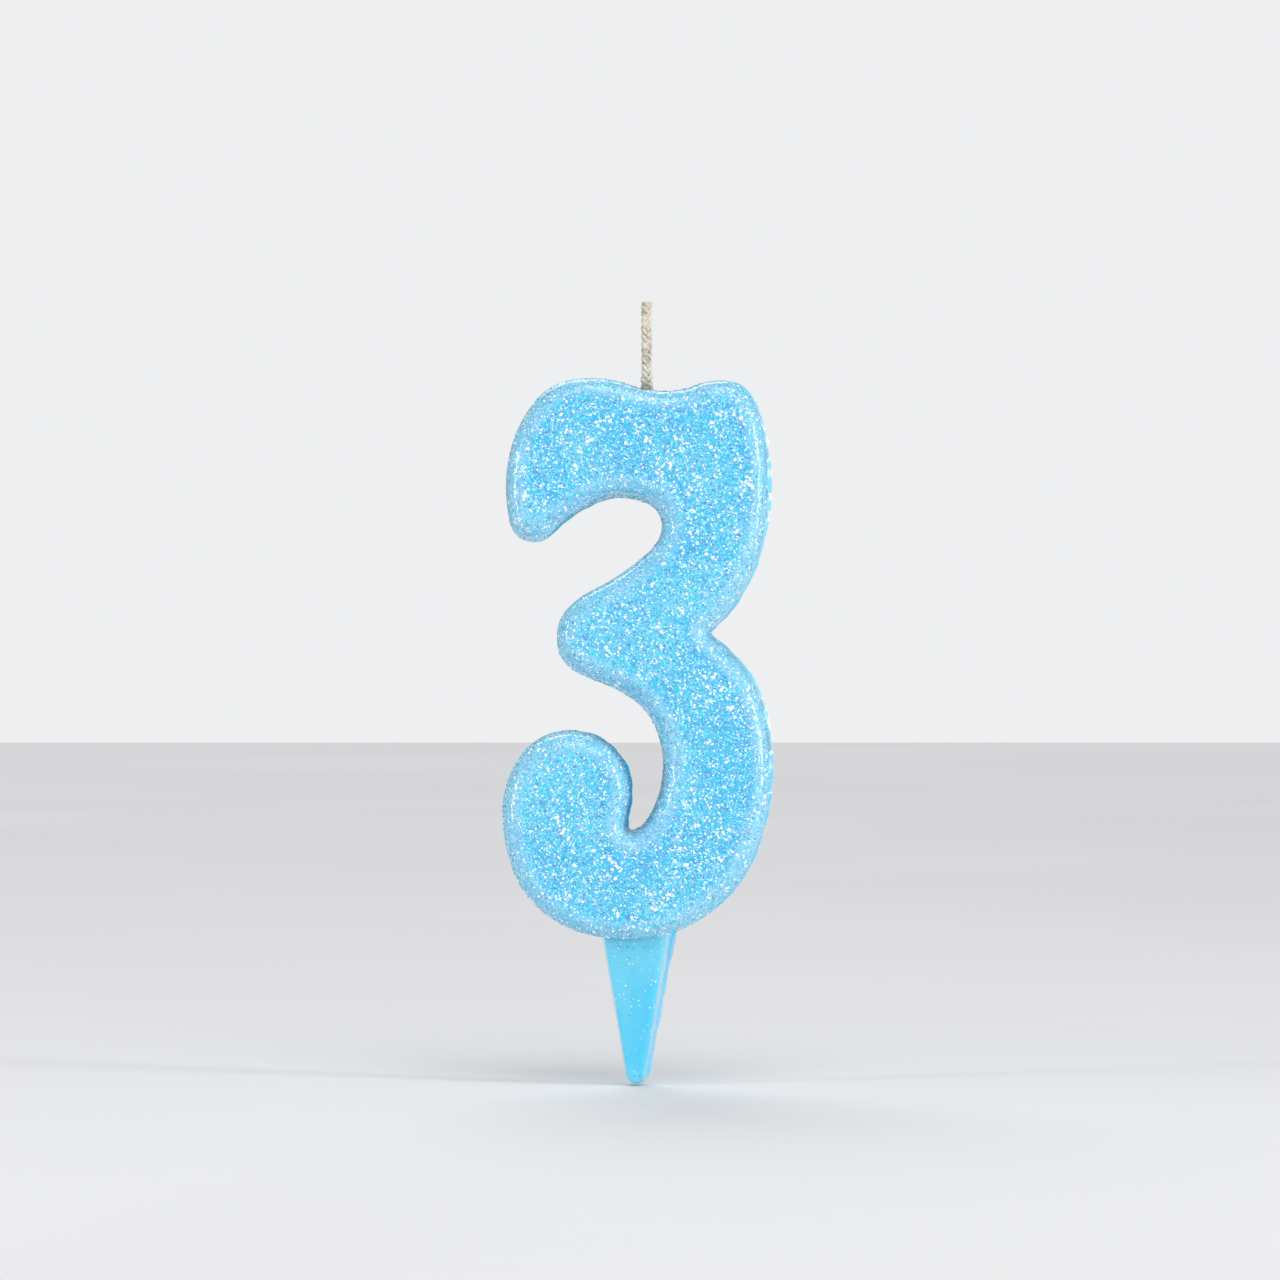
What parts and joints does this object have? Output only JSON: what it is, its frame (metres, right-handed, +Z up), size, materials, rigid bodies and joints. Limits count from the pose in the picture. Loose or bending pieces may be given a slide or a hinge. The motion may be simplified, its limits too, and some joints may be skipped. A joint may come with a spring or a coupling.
{
  "type": "number birthday candle",
  "caption": "Moulded wax candle shaped like the digit 3, with a glitter-coated rounded front, a braided wick and a tapered spike that pushes into a cake.",
  "frame": {"origin": "on the spike's centre line, halfway through its depth, where it meets the underside of the digit: the level of the cake's top", "axes": "+Z up the candle from the cake towards the wick, the glittered front faces -Y and the flat back +Y, +X to the right of someone looking at the front"},
  "size_m": [0.0413, 0.0118, 0.1186],
  "materials": {
    "blue_wax": "glossy pale blue candle wax, slightly translucent",
    "waxed_cotton": "off-white braided cotton primed with clear wax",
    "glitter_glue": "clear glossy glue full of very fine pale blue glitter",
    "pearl_film": "iridescent white polyester film, mirror bright",
    "turquoise_film": "turquoise polyester film, mirror bright",
    "violet_film": "dark violet polyester film, mirror bright"
  },
  "bodies": {
    "root": {"wax_body": "blue_wax", "wick": "waxed_cotton", "glitter_coat": "glitter_glue", "pearl_flakes": "pearl_film", "turquoise_flakes": "turquoise_film", "violet_flakes": "violet_film"}
  },
  "joints": []
}
